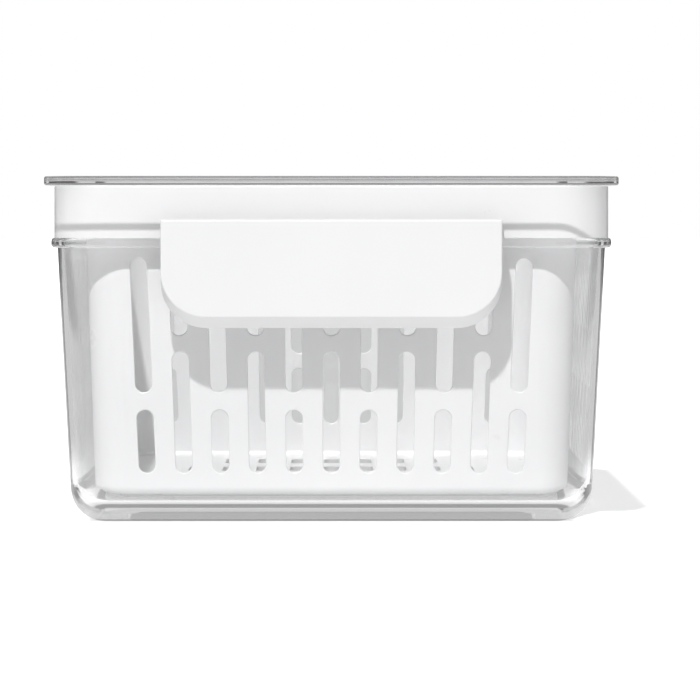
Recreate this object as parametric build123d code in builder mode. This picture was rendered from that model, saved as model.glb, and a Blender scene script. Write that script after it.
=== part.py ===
from build123d import *
import os
from math import radians, tan

# Fridge storage bin: a clear tub, a white slotted basket whose tall collar stands on the tub's rim, a pull
# handle on the collar's front, and a clear lid that lies on the collar.
# Millimetres. +Z is up and the front, with the handle, faces -Y. The origin is the middle of the whole
# object's footprint, on the surface that the tub stands on.

# Clear tub
tub_width = 225.6
tub_depth = 344.7
tub_height = 116.8
tub_wall = 2.4
tub_draft = 3.0
tub_corner = 21.0
tub_bottom_radius = 14.0
tub_floor_top = 6.4
foot_height = 1.0
foot_width = 9.0
foot_corner = 10.0
rim_overhang = 2.6
rim_thickness = 4.1
rim_edge_radius = 1.6
rib_width = 1.0
rib_proud = 1.1
rib_length = 11.4
rib_drop = 1.7
rib_spread_x = 178.2
rib_spread_y = 250.0

# White basket with its collar
side_gap = 9.1
end_gap = 5.35
basket_wall = 2.0
basket_floor = 2.2
basket_draft = 2.1
basket_corner = 16.5
basket_bottom_radius = 4.5
basket_lift = 3.6
pad_clearance = 0.3
pad_size = 17.9
pad_inset = 9.6
pad_corner = 4.0
collar_setback = 1.35
collar_height = 21.5
collar_wall = 2.4
collar_corner = 22.0
collar_edge_radius = 0.8
ledge_thickness = 2.4
ledge_edge_radius = 0.8
select_margin = 0.01

# Slots in the basket's walls and floor
slot_width = 6.8
slot_edge_radius = 0.5
slot_pitch = 15.1
slot_margin = 3.0
slot_fan = 2.4
slot_bottom = 20.4
slot_top = 108.4
low_split = (46.2, 53.5)
high_split = (70.0, 76.9)
back_slot_raise = 7.0
drain_width = 6.8
drain_length = 38.0
drain_gap = 30.0

# Pull handle
handle_width = 138.8
handle_proud = 11.0
handle_top = 124.3
handle_bottom = 84.8
handle_corner = 18.5
handle_plate = 2.6
handle_shelf = 3.0
lip_back = 5.0
lip_drop = 4.6
lip_wall = 2.4
handle_edge_radius = 0.8
tab_count = 3
tab_width = 12.0
tab_thickness = 2.0
tab_pitch = 46.0
tab_inset = 0.6
tab_clearance = 0.2
barb_drop = 1.2
barb_length = 1.8

# Clear lid
lid_thickness = 3.7
lid_side_overhang = 3.5
lid_front_overhang = 14.0
lid_corner = 22.0
lid_edge_radius = 0.9
lid_ring_depth = 3.0
lid_ring_wall = 2.2
lid_ring_clearance = 0.6

# Tub, worked out from the sizes above
centre_y = (lid_front_overhang - lid_side_overhang) / 2
rim_width = tub_width + 2 * rim_overhang
rim_depth = tub_depth + 2 * rim_overhang
rim_corner = tub_corner + rim_overhang
rim_bottom = tub_height - rim_thickness
rib_top = rim_bottom - rib_drop
mouth_width = tub_width - 2 * tub_wall
mouth_depth = tub_depth - 2 * tub_wall
mouth_corner = tub_corner - tub_wall

# Basket
basket_width = mouth_width - 2 * side_gap
basket_depth = mouth_depth - 2 * end_gap
basket_bottom = tub_floor_top + basket_lift
basket_floor_top = basket_bottom + basket_floor
basket_slope = tan(radians(basket_draft))
basket_taper = 2 * basket_slope * (tub_height - basket_bottom)
pad_bottom = tub_floor_top + pad_clearance
pad_spread_x = basket_width - basket_taper - 2 * pad_inset - pad_size
pad_spread_y = basket_depth - basket_taper - 2 * pad_inset - pad_size
ledge_top = tub_height + ledge_thickness
well_width = basket_width - 2 * basket_wall + 2 * basket_slope * ledge_thickness
well_depth = basket_depth - 2 * basket_wall + 2 * basket_slope * ledge_thickness
collar_width = rim_width - 2 * collar_setback
collar_depth = rim_depth - 2 * collar_setback
collar_bore_width = collar_width - 2 * collar_wall
collar_bore_depth = collar_depth - 2 * collar_wall
collar_bore_corner = collar_corner - collar_wall
collar_top = tub_height + collar_height
collar_front = centre_y - collar_depth / 2
front_reach = int((basket_width / 2 - basket_corner - slot_width / 2 - slot_margin) / slot_pitch)
side_reach = int((basket_depth / 2 - basket_corner - slot_width / 2 - slot_margin) / slot_pitch)
drain_columns = 2 * front_reach - 1
drain_rows = int((pad_spread_y - pad_size + drain_gap) / (drain_length + drain_gap))

# Handle
hollow_drop = lip_drop * handle_plate / lip_back
hollow_top = handle_top - handle_shelf
hollow_bottom = handle_bottom - hollow_drop + lip_wall
slant = Vector(0, lip_back, -lip_drop)
tab_top = handle_top - tab_inset
tab_bottom = tab_top - tab_thickness
window_top = tab_top + tab_clearance
window_bottom = tab_bottom - barb_drop - tab_clearance
barb_start = collar_wall + tab_clearance
window_depth = collar_wall + ledge_edge_radius

# Lid
lid_width = collar_width + 2 * lid_side_overhang
lid_depth = collar_depth + lid_side_overhang + lid_front_overhang
ring_width = collar_bore_width - 2 * lid_ring_clearance
ring_depth = collar_bore_depth - 2 * lid_ring_clearance
ring_corner = collar_bore_corner - lid_ring_clearance

front_plane = Plane(origin=(0, centre_y, 0), x_dir=(1, 0, 0), z_dir=(0, -1, 0))
back_plane = Plane(origin=(0, centre_y, 0), x_dir=(-1, 0, 0), z_dir=(0, 1, 0))
side_plane = Plane(origin=(0, centre_y, 0), x_dir=(0, 1, 0), z_dir=(1, 0, 0))
handle_plane = Plane(origin=(0, collar_front - handle_proud, 0), x_dir=(1, 0, 0), z_dir=(0, -1, 0))


def level(height):
    """Horizontal plane at a height, centred on the tub."""
    return Plane((0, centre_y, height))


def slot_between(column, lean, low, high):
    """One upright slot of a column, which leans outwards as the basket's wall does."""
    slope = tan(radians(lean))
    middle = (low + high) / 2
    end = high - slot_width / 2
    middle_x = column * slot_pitch + slope * (middle - slot_bottom)
    end_x = column * slot_pitch + slope * (end - slot_bottom)
    SlotCenterPoint((middle_x, middle), (end_x, end), slot_width)


def slot_columns(reach, raised=0.0):
    """Slots of one wall: each column is split in two, low down and at half height by turns."""
    for column in range(-reach, reach + 1):
        split = low_split if (column + reach) % 2 == 0 else high_split
        lean = slot_fan * column / reach
        slot_between(column, lean, slot_bottom + raised, split[0] + raised)
        slot_between(column, lean, split[1] + raised, slot_top)


os.makedirs("parts", exist_ok=True)

# Hollow of the tub, straight through the rim and drafted below it
with BuildPart() as tub_hollow:
    with BuildSketch(level(rim_bottom)):
        RectangleRounded(mouth_width, mouth_depth, mouth_corner)
    extrude(amount=-(rim_bottom - tub_floor_top), taper=tub_draft)
    fillet(tub_hollow.edges().group_by(Axis.Z)[0], tub_bottom_radius - tub_wall)
    with BuildSketch(level(rim_bottom)):
        RectangleRounded(mouth_width, mouth_depth, mouth_corner)
    extrude(amount=rim_thickness)

# Short upright ribs inside the tub's mouth, two on each wall
with BuildPart() as mouth_ribs:
    with BuildSketch(level(rib_top - rib_length)):
        with Locations((-rib_spread_x / 2, 0), (rib_spread_x / 2, 0)):
            Rectangle(rib_width, mouth_depth + tub_wall)
        with Locations((0, -rib_spread_y / 2), (0, rib_spread_y / 2)):
            Rectangle(mouth_width + tub_wall, rib_width)
        Rectangle(mouth_width - 2 * rib_proud, mouth_depth - 2 * rib_proud, mode=Mode.SUBTRACT)
    extrude(amount=rib_length)

# Clear tub: drafted walls, a rounded outward rim and a foot ring under the floor
with BuildPart() as tub:
    with BuildSketch(level(rim_bottom)):
        RectangleRounded(rim_width, rim_depth, rim_corner)
    extrude(amount=rim_thickness)
    fillet(tub.edges().group_by(Axis.Z)[0] + tub.edges().group_by(Axis.Z)[-1], rim_edge_radius)
    with BuildSketch(level(rim_bottom)):
        RectangleRounded(tub_width, tub_depth, tub_corner)
    extrude(amount=-rim_bottom, taper=tub_draft)
    fillet(tub.edges().group_by(Axis.Z)[0], tub_bottom_radius)
    add(tub_hollow.part, mode=Mode.SUBTRACT)
    add(mouth_ribs.part)
    foot_print = tub.faces().sort_by(Axis.Z)[0].bounding_box().size
    with BuildSketch(level(0)):
        RectangleRounded(foot_print.X - 2 * foot_width, foot_print.Y - 2 * foot_width, foot_corner)
    extrude(amount=foot_height, mode=Mode.SUBTRACT)
tub.part.label = "tub"
export_step(tub.part, "parts/tub.step")

# Hollow of the basket below its ledge
with BuildPart() as basket_hollow:
    with BuildSketch(level(ledge_top)):
        RectangleRounded(well_width, well_depth, basket_corner - basket_wall)
    extrude(amount=-(ledge_top - basket_floor_top), taper=basket_draft)
    fillet(basket_hollow.edges().group_by(Axis.Z)[0], basket_bottom_radius - basket_wall)

# Slots through the front, back and side walls
with BuildPart() as wall_slots:
    with BuildSketch(front_plane):
        slot_columns(front_reach)
    extrude(amount=basket_depth)
    with BuildSketch(back_plane):
        slot_columns(front_reach, back_slot_raise)
    extrude(amount=basket_depth)
    with BuildSketch(side_plane):
        slot_columns(side_reach)
    extrude(amount=basket_width, both=True)

# White basket: slotted drafted walls, drained floor, low feet, and the collar on its ledge
with BuildPart() as basket:
    with BuildSketch(level(tub_height)):
        RectangleRounded(basket_width, basket_depth, basket_corner)
    extrude(amount=-(tub_height - basket_bottom), taper=basket_draft)
    fillet(basket.edges().group_by(Axis.Z)[0], basket_bottom_radius)
    with BuildSketch(level(tub_height)):
        RectangleRounded(collar_width, collar_depth, collar_corner)
    extrude(amount=collar_height)
    with BuildSketch(level(ledge_top)):
        RectangleRounded(collar_bore_width, collar_bore_depth, collar_bore_corner)
    extrude(amount=collar_height - ledge_thickness, mode=Mode.SUBTRACT)
    fillet(basket.edges().group_by(Axis.Z)[-1], collar_edge_radius)
    add(basket_hollow.part, mode=Mode.SUBTRACT)
    ledge_edges = basket.edges().filter_by_position(Axis.Z, ledge_top - select_margin, ledge_top + select_margin)
    fillet(ledge_edges, ledge_edge_radius)
    add(wall_slots.part, mode=Mode.SUBTRACT)
    slotted_faces = basket.faces().filter_by(lambda face: len(face.inner_wires()) > front_reach)
    slot_wires = [wire for face in slotted_faces for wire in face.inner_wires()]
    fillet([edge for wire in slot_wires for edge in wire.edges()], slot_edge_radius)
    with BuildSketch(level(basket_floor_top)):
        with GridLocations(slot_pitch, drain_length + drain_gap, drain_columns, drain_rows):
            SlotOverall(drain_length, drain_width, rotation=90)
    extrude(amount=-basket_floor, mode=Mode.SUBTRACT)
    with BuildSketch(level(pad_bottom)):
        with GridLocations(pad_spread_x, pad_spread_y, 2, 2):
            RectangleRounded(pad_size, pad_size, pad_corner)
    extrude(amount=basket_bottom + basket_floor / 2 - pad_bottom)
    with BuildSketch(Plane(origin=(0, collar_front, 0), x_dir=(-1, 0, 0), z_dir=(0, 1, 0))):
        with Locations((0, (window_top + window_bottom) / 2)):
            with GridLocations(tab_pitch, 1, tab_count, 1):
                Rectangle(tab_width + 2 * tab_clearance, window_top - window_bottom)
    extrude(amount=window_depth, mode=Mode.SUBTRACT)
basket.part.label = "basket"
export_step(basket.part, "parts/basket.step")

# Hollow behind the handle's plate, inside its slanted lip
with BuildPart() as handle_hollow:
    with BuildSketch(handle_plane.offset(-handle_plate)) as hollow_outline:
        with Locations((0, (hollow_top + hollow_bottom) / 2)):
            Rectangle(handle_width - 2 * lip_wall, hollow_top - hollow_bottom)
        fillet(hollow_outline.vertices().group_by(Axis.Y)[0], handle_corner - lip_wall)
    extrude(amount=slant.length, dir=slant.normalized())

# White pull handle: face plate with a slanted lip all round, a top shelf and snap tabs through the collar
with BuildPart() as handle:
    with BuildSketch(handle_plane) as plate_outline:
        with Locations((0, (handle_top + handle_bottom) / 2)):
            Rectangle(handle_width, handle_top - handle_bottom)
        fillet(plate_outline.vertices().group_by(Axis.Y)[0], handle_corner)
    extrude(amount=slant.length, dir=slant.normalized())
    add(handle_hollow.part, mode=Mode.SUBTRACT)
    with BuildSketch(handle_plane):
        with Locations((0, handle_top - handle_shelf / 2)):
            Rectangle(handle_width, handle_shelf)
    extrude(amount=-handle_proud)
    fillet(handle.edges().group_by(Axis.Y)[0], handle_edge_radius)
    with BuildSketch(Plane(origin=(0, collar_front, 0), x_dir=(-1, 0, 0), z_dir=(0, 1, 0))):
        with Locations((0, tab_bottom + tab_thickness / 2)):
            with GridLocations(tab_pitch, 1, tab_count, 1):
                Rectangle(tab_width, tab_thickness)
    extrude(amount=barb_start + barb_length)
    with BuildSketch(Plane(origin=(0, collar_front + barb_start, 0), x_dir=(-1, 0, 0), z_dir=(0, 1, 0))):
        with Locations((0, tab_bottom - barb_drop / 2)):
            with GridLocations(tab_pitch, 1, tab_count, 1):
                Rectangle(tab_width, barb_drop)
    extrude(amount=barb_length)
handle.part.label = "handle"
export_step(handle.part, "parts/handle.step")

# Clear lid: flat plate with a shallow ring that keeps it in the collar's mouth
with BuildPart() as lid:
    with BuildSketch(Plane.XY.offset(collar_top)):
        RectangleRounded(lid_width, lid_depth, lid_corner)
    extrude(amount=lid_thickness)
    fillet(lid.edges().group_by(Axis.Z)[0] + lid.edges().group_by(Axis.Z)[-1], lid_edge_radius)
    with BuildSketch(level(collar_top)):
        RectangleRounded(ring_width, ring_depth, ring_corner)
        RectangleRounded(
            ring_width - 2 * lid_ring_wall,
            ring_depth - 2 * lid_ring_wall,
            ring_corner - lid_ring_wall,
            mode=Mode.SUBTRACT,
        )
    extrude(amount=-lid_ring_depth)
lid.part.label = "lid"
export_step(lid.part, "parts/lid.step")
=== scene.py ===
import math

import bpy
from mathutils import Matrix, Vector


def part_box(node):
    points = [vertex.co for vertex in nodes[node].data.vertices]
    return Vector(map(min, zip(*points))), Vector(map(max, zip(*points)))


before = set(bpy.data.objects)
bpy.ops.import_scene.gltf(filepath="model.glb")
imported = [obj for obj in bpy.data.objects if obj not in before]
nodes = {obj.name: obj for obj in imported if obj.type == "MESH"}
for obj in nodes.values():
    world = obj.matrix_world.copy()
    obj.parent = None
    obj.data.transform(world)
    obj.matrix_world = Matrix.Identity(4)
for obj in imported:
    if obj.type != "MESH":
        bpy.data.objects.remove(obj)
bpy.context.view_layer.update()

lid_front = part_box("lid")[0].y

MM = 0.001
WHITE = (1, 1, 1, 1)
BLACK = (0, 0, 0, 1)

# Camera, laid out in the pixels of a square frame
IMAGE_SIZE = 700
SENSOR = 36.0
FOCAL_PIXELS = 5085
CAMERA_DISTANCE = 2060 * MM
EYE_HEIGHT = 128.2 * MM
HORIZON_ROW = 210
CENTRE_COLUMN = 331.4
CLIP_START = 0.1
CLIP_END = 50


def make_camera():
    """Long lens at the collar's height, between the tub's rim and the lid, aimed at the frame's middle."""
    pixel = CAMERA_DISTANCE / FOCAL_PIXELS
    eye = Vector((0, lid_front - CAMERA_DISTANCE, EYE_HEIGHT))
    across = (IMAGE_SIZE / 2 - CENTRE_COLUMN) * pixel
    down = (IMAGE_SIZE / 2 - HORIZON_ROW) * pixel
    target = Vector((across, lid_front, EYE_HEIGHT - down))
    data = bpy.data.cameras.new("camera")
    data.sensor_width = SENSOR
    data.lens = SENSOR * FOCAL_PIXELS / IMAGE_SIZE
    data.clip_start = CLIP_START
    data.clip_end = CLIP_END
    camera = bpy.data.objects.new("camera", data)
    camera.location = eye
    camera.rotation_euler = (target - eye).to_track_quat("-Z", "Y").to_euler()
    bpy.context.scene.collection.objects.link(camera)
    bpy.context.scene.camera = camera


# Node helpers
def add_node(tree, kind, **settings):
    """New node with the given properties."""
    node = tree.nodes.new(kind)
    for name, value in settings.items():
        setattr(node, name, value)
    return node


def join(tree, value, socket):
    """Link an output to a socket, or set the socket to a plain value."""
    if isinstance(value, bpy.types.NodeSocket):
        tree.links.new(value, socket)
    else:
        socket.default_value = value


def maths(tree, operation, first, second=0.0):
    """Result of one sum on values or outputs."""
    node = add_node(tree, "ShaderNodeMath", operation=operation)
    join(tree, first, node.inputs[0])
    join(tree, second, node.inputs[1])
    return node.outputs[0]


def times(tree, first, second):
    """Product of two values or outputs."""
    return maths(tree, "MULTIPLY", first, second)


def axes(tree, vector):
    """The X, Y and Z outputs of a vector."""
    split = add_node(tree, "ShaderNodeSeparateXYZ")
    tree.links.new(vector, split.inputs[0])
    return split.outputs


def smooth_range(tree, value, start, end, low=0.0, high=1.0):
    """Smooth step of a value from low at start to high at end."""
    node = add_node(tree, "ShaderNodeMapRange", interpolation_type="SMOOTHSTEP")
    join(tree, value, node.inputs["Value"])
    for name, amount in (("From Min", start), ("From Max", end), ("To Min", low), ("To Max", high)):
        node.inputs[name].default_value = amount
    return node.outputs["Result"]


def mix_shaders(tree, share, first, second):
    """Shader that goes from the first to the second as the share rises."""
    mix = add_node(tree, "ShaderNodeMixShader")
    tree.links.new(share, mix.inputs["Fac"])
    tree.links.new(first, mix.inputs[1])
    tree.links.new(second, mix.inputs[2])
    return mix.outputs[0]


def new_material(name):
    """Material with its node tree, Principled shader and output."""
    material = bpy.data.materials.new(name)
    material.use_nodes = True
    tree = material.node_tree
    return material, tree, tree.nodes["Principled BSDF"], tree.nodes["Material Output"]


# Lamp
SUN_DIRECTION = Vector((0.17, 0.74, -1.0))
SUN_STRENGTH = 2.8
SUN_ANGLE = math.radians(2.0)

# White surroundings: how much they light matt faces, and how bright glass and gloss show them
FILL_LEVEL = 0.26
GLASS_LEVEL = 0.7

# Dark cards, which only glass and gloss show. They rise beside straight ahead and the sides, fall just
# before the slant halfway between, and stand on the level. On the floor they darken with distance.
CARD_RISE = (0.18, 0.32)
CARD_FALL = (0.97, 0.995)
CARD_HEIGHT = (0.15, 0.3)
CARD_REACH = (0.5, 3.5)
CARD_DEPTH = 0.97


def make_sun():
    """Key light from the upper left, in front."""
    data = bpy.data.lights.new("key", "SUN")
    data.energy = SUN_STRENGTH
    data.angle = SUN_ANGLE
    light = bpy.data.objects.new("key", data)
    light.rotation_euler = SUN_DIRECTION.to_track_quat("-Z", "Y").to_euler()
    bpy.context.scene.collection.objects.link(light)


def make_card_group():
    """How dark the studio is towards a place, from 0 straight ahead and at the sides."""
    group = bpy.data.node_groups.new("studio_cards", "ShaderNodeTree")
    group.interface.new_socket("Place", in_out="INPUT", socket_type="NodeSocketVector")
    group.interface.new_socket("Dark", in_out="OUTPUT", socket_type="NodeSocketFloat")
    place = axes(group, group.nodes.new("NodeGroupInput").outputs["Place"])
    x, y = place["X"], place["Y"]
    squares = maths(group, "ADD", times(group, x, x), times(group, y, y))
    slant = times(group, times(group, x, y), 2.0)
    turn = maths(group, "ABSOLUTE", maths(group, "DIVIDE", slant, squares))
    rise = smooth_range(group, turn, *CARD_RISE)
    fall = smooth_range(group, turn, *CARD_FALL, low=1.0, high=0.0)
    dark = times(group, times(group, rise, fall), CARD_DEPTH)
    group.links.new(dark, group.nodes.new("NodeGroupOutput").inputs["Dark"])


def card_dark(tree, place, shape):
    """Darkness of the cards at a place, scaled by their height or distance."""
    cards = add_node(tree, "ShaderNodeGroup", node_tree=bpy.data.node_groups["studio_cards"])
    tree.links.new(place, cards.inputs["Place"])
    return times(tree, cards.outputs["Dark"], shape)


def ray_kinds(tree):
    """Masks for what the camera sees itself, and for what it sees in glass and gloss."""
    path = add_node(tree, "ShaderNodeLightPath")
    no_matt_face_yet = maths(tree, "LESS_THAN", path.outputs["Diffuse Depth"], 0.5)
    polished = maths(tree, "MAXIMUM", path.outputs["Is Transmission Ray"], path.outputs["Is Glossy Ray"])
    return path.outputs["Is Camera Ray"], times(tree, polished, no_matt_face_yet)


def make_world():
    """Surroundings: white to the camera, dimmer with dark cards in glass and gloss, a soft fill elsewhere."""
    world = bpy.data.worlds.new("studio")
    bpy.context.scene.world = world
    world.use_nodes = True
    tree = world.node_tree
    background = tree.nodes["Background"]
    seen, polished = ray_kinds(tree)
    direction = add_node(tree, "ShaderNodeTexCoord").outputs["Generated"]
    height = maths(tree, "ABSOLUTE", axes(tree, direction)["Z"])
    near_level = smooth_range(tree, height, *CARD_HEIGHT, low=1.0, high=0.0)
    dark = times(tree, card_dark(tree, direction, near_level), polished)
    fill = smooth_range(tree, polished, 0.0, 1.0, FILL_LEVEL, GLASS_LEVEL)
    white = maths(tree, "MAXIMUM", fill, seen)
    strength = times(tree, white, maths(tree, "SUBTRACT", 1.0, dark))
    background.inputs["Color"].default_value = WHITE
    tree.links.new(strength, background.inputs["Strength"])


FLOOR_SIZE = 40.0
FLOOR_COLOUR = (0.85, 0.85, 0.855, 1)
FLOOR_ROUGHNESS = 0.9

# The floor's own glow, and what the camera, or glass and gloss, see on top of it
FLOOR_GLOW = 0.25
FLOOR_SEEN_GLOW = 0.33
FLOOR_GLASS_GLOW = 0.3

# Distance over which the floor dims in glass and gloss, and how much at its start and end
FLOOR_NEAR = (0.2, 0.45)
FLOOR_DIM = (0.25, 0.62)


def make_floor():
    """Pale floor that looks white round the object, keeps its shadow and dims far off in glass and gloss."""
    bpy.ops.mesh.primitive_plane_add(size=FLOOR_SIZE)
    floor = bpy.context.object
    floor.name = "floor"
    material, tree, shader, output = new_material("floor")
    shader.inputs["Base Color"].default_value = FLOOR_COLOUR
    shader.inputs["Roughness"].default_value = FLOOR_ROUGHNESS
    shader.inputs["Specular IOR Level"].default_value = 0.0
    shader.inputs["Emission Color"].default_value = WHITE
    seen, polished = ray_kinds(tree)
    glow = maths(tree, "ADD", times(tree, seen, FLOOR_SEEN_GLOW), FLOOR_GLOW)
    glow = maths(tree, "ADD", glow, times(tree, polished, FLOOR_GLASS_GLOW))
    tree.links.new(glow, shader.inputs["Emission Strength"])
    place = add_node(tree, "ShaderNodeTexCoord").outputs["Object"]
    distance = add_node(tree, "ShaderNodeVectorMath", operation="LENGTH")
    tree.links.new(place, distance.inputs[0])
    far = smooth_range(tree, distance.outputs["Value"], *CARD_REACH)
    dim = smooth_range(tree, distance.outputs["Value"], *FLOOR_NEAR, *FLOOR_DIM)
    dark = times(tree, maths(tree, "MAXIMUM", card_dark(tree, place, far), dim), polished)
    black = add_node(tree, "ShaderNodeBsdfDiffuse")
    black.inputs["Color"].default_value = BLACK
    result = mix_shaders(tree, dark, shader.outputs[0], black.outputs[0])
    tree.links.new(result, output.inputs["Surface"])
    floor.data.materials.append(material)


# Marks of the mould, as scale and detail of each. The relief's scale is each material's own.
SHADE_MARKS = (11.0, 3.0)
GLOSS_MARKS = (70.0, 4.0)
RELIEF_DETAIL = 2.0
MARK_RANGE = (0.15, 0.85)


def make_surface_group():
    """Marks of the mould at three sizes: slow unevenness of shade, patches of gloss and fine relief."""
    group = bpy.data.node_groups.new("moulded_surface", "ShaderNodeTree")
    group.interface.new_socket("Relief Scale", in_out="INPUT", socket_type="NodeSocketFloat")
    relief_scale = group.nodes.new("NodeGroupInput").outputs["Relief Scale"]
    marks = {"Shade": SHADE_MARKS, "Gloss": GLOSS_MARKS, "Relief": (relief_scale, RELIEF_DETAIL)}
    for name in marks:
        group.interface.new_socket(name, in_out="OUTPUT", socket_type="NodeSocketFloat")
    place = add_node(group, "ShaderNodeTexCoord").outputs["Object"]
    result = group.nodes.new("NodeGroupOutput")
    for name, (scale, detail) in marks.items():
        noise = add_node(group, "ShaderNodeTexNoise")
        group.links.new(place, noise.inputs["Vector"])
        join(group, scale, noise.inputs["Scale"])
        noise.inputs["Detail"].default_value = detail
        group.links.new(smooth_range(group, noise.outputs[0], *MARK_RANGE), result.inputs[name])


def moulded_surface(tree, shader, colours, roughness, relief_scale, relief_height):
    """Run the mould's marks into a shader's roughness and normal, and return its shade of colour."""
    marks = add_node(tree, "ShaderNodeGroup", node_tree=bpy.data.node_groups["moulded_surface"])
    marks.inputs["Relief Scale"].default_value = relief_scale
    low, high = roughness
    gloss = smooth_range(tree, marks.outputs["Gloss"], 0.0, 1.0, low, high)
    tree.links.new(gloss, shader.inputs["Roughness"])
    bump = add_node(tree, "ShaderNodeBump")
    bump.inputs["Strength"].default_value = 1.0
    bump.inputs["Distance"].default_value = relief_height
    tree.links.new(marks.outputs["Relief"], bump.inputs["Height"])
    tree.links.new(bump.outputs["Normal"], shader.inputs["Normal"])
    mix = add_node(tree, "ShaderNodeMix", data_type="RGBA")
    tree.links.new(marks.outputs["Shade"], mix.inputs["Factor"])
    mix.inputs["A"].default_value, mix.inputs["B"].default_value = colours
    return mix.outputs["Result"]


# Clear plastic
CLEAR_TINTS = ((0.985, 0.99, 0.99, 1), WHITE)
CLEAR_ROUGHNESS = (0.005, 0.015)
CLEAR_RELIEF_SCALE = 45.0
CLEAR_RELIEF_HEIGHT = 0.015 * MM
CLEAR_IOR = 1.5
CLEAR_DEPTH_COLOUR = (0.1, 0.11, 0.12, 1)

# Where the lamp's light is dimmed in a clear piece: on faces steeper than the slope, and between the
# margins at its front and back
STEEP_SLOPE = (0.3, 0.75)
MARGIN = (160 * MM, 172 * MM)

# The tub's lowest part: heights over which the lamp's light comes back, the painted dark line at the floor
# ends, and the painted glow of the bottom slab, in place of light carried inside it, starts and gives way to
# the walls' own
BASE_HEIGHT = (1 * MM, 4 * MM)
BASE_LIGHT = 0.4
FOOT_HEIGHT = (0.7 * MM, 1.3 * MM)
FOOT_PAINTED_SHADE = 0.1
SLAB_FOOT = (0.4 * MM, 0.9 * MM)
SLAB_TOP = (6.8 * MM, 8.5 * MM)


def lamp_share(tree, place, middle_light, steep_light):
    """Share of the lamp's light that a clear piece lets through."""
    normal = add_node(tree, "ShaderNodeNewGeometry").outputs["Normal"]
    slope = maths(tree, "ABSOLUTE", axes(tree, normal)["Z"])
    steep = smooth_range(tree, slope, *STEEP_SLOPE, low=steep_light, high=1.0)
    depth = maths(tree, "ABSOLUTE", place["Y"])
    return times(tree, steep, smooth_range(tree, depth, *MARGIN, low=middle_light, high=1.0))


def paint_foot_shade_and_glow(tree, height, colour, light, painted_wall_glow):
    """Colour with a painted dark line at the floor, lamp's light, and painted glow of a clear piece that
    stands on the floor.
    """
    # Painted shade: the colour goes dark in the lowest millimetre, where the tub meets the floor
    foot_painted_shade = smooth_range(tree, height, *FOOT_HEIGHT, low=FOOT_PAINTED_SHADE, high=1.0)
    shade = add_node(tree, "ShaderNodeVectorMath", operation="SCALE")
    tree.links.new(colour, shade.inputs[0])
    tree.links.new(foot_painted_shade, shade.inputs["Scale"])
    base = smooth_range(tree, height, *BASE_HEIGHT, low=BASE_LIGHT, high=1.0)
    # Painted light: the bottom slab glows more than the walls, in place of light carried inside it
    slab_painted_glow = smooth_range(tree, height, *SLAB_TOP, low=1.0, high=painted_wall_glow)
    glow = times(tree, slab_painted_glow, smooth_range(tree, height, *SLAB_FOOT))
    return shade.outputs["Vector"], times(tree, light, base), glow


def clear_plastic(name, density, middle_light, steep_light, painted_inner_glow, painted_wall_glow=None):
    """Clear moulded plastic: polished, a little grey along its length, open to the lamp's light, and with a
    painted glow in place of light carried inside it.

    A piece that stands on the floor has a painted wall glow, the share of its bottom slab's painted glow in
    its walls.
    """
    material, tree, shader, output = new_material(name)
    place = axes(tree, add_node(tree, "ShaderNodeTexCoord").outputs["Object"])
    colour = moulded_surface(tree, shader, CLEAR_TINTS, CLEAR_ROUGHNESS, CLEAR_RELIEF_SCALE,
                             CLEAR_RELIEF_HEIGHT)
    light = lamp_share(tree, place, middle_light, steep_light)
    glow = WHITE
    if painted_wall_glow is not None:
        colour, light, glow = paint_foot_shade_and_glow(tree, place["Z"], colour, light, painted_wall_glow)
    tree.links.new(colour, shader.inputs["Base Color"])
    shader.inputs["Transmission Weight"].default_value = 1.0
    shader.inputs["IOR"].default_value = CLEAR_IOR
    join(tree, glow, shader.inputs["Emission Color"])
    # Painted light: a faint glow over the whole piece, in place of light carried inside the plastic
    shader.inputs["Emission Strength"].default_value = painted_inner_glow
    open_to_light = add_node(tree, "ShaderNodeBsdfTransparent")
    tree.links.new(light, open_to_light.inputs["Color"])
    path = add_node(tree, "ShaderNodeLightPath")
    result = shader.outputs[0]
    for ray in ("Is Diffuse Ray", "Is Shadow Ray"):
        result = mix_shaders(tree, path.outputs[ray], result, open_to_light.outputs[0])
    tree.links.new(result, output.inputs["Surface"])
    absorb = add_node(tree, "ShaderNodeVolumeAbsorption")
    absorb.inputs["Color"].default_value = CLEAR_DEPTH_COLOUR
    absorb.inputs["Density"].default_value = density
    tree.links.new(absorb.outputs[0], output.inputs["Volume"])
    return material


# White plastic
WHITE_SHADES = (0.985, 1.015)
WHITE_COOLNESS = 0.005
WHITE_GLOSS_SPREAD = (-0.05, 0.06)
WHITE_RELIEF_SCALE = 1400.0
WHITE_RELIEF_HEIGHT = 0.012 * MM


def white_plastic(name, level, roughness):
    """Opaque white moulded plastic with a fine satin grain."""
    material, tree, shader, output = new_material(name)
    shades = [(level * k, level * k, level * k + WHITE_COOLNESS, 1) for k in WHITE_SHADES]
    gloss = [roughness + spread for spread in WHITE_GLOSS_SPREAD]
    colour = moulded_surface(tree, shader, shades, gloss, WHITE_RELIEF_SCALE, WHITE_RELIEF_HEIGHT)
    tree.links.new(colour, shader.inputs["Base Color"])
    return material


make_camera()
make_card_group()
make_surface_group()
make_sun()
make_world()
make_floor()

finishes = {
    "tub": clear_plastic("clear_tub", density=0.5, middle_light=0.96, steep_light=0.98, painted_inner_glow=0.06,
                         painted_wall_glow=0.42),
    "lid": clear_plastic("clear_lid", density=0.6, middle_light=0.9, steep_light=0.05, painted_inner_glow=0.04),
    "basket": white_plastic("white_basket", level=0.81, roughness=0.32),
    "handle": white_plastic("white_handle", level=0.78, roughness=0.4),
}
for name, material in finishes.items():
    nodes[name].data.materials.clear()
    nodes[name].data.materials.append(material)

bpy.context.scene.view_settings.view_transform = "Standard"
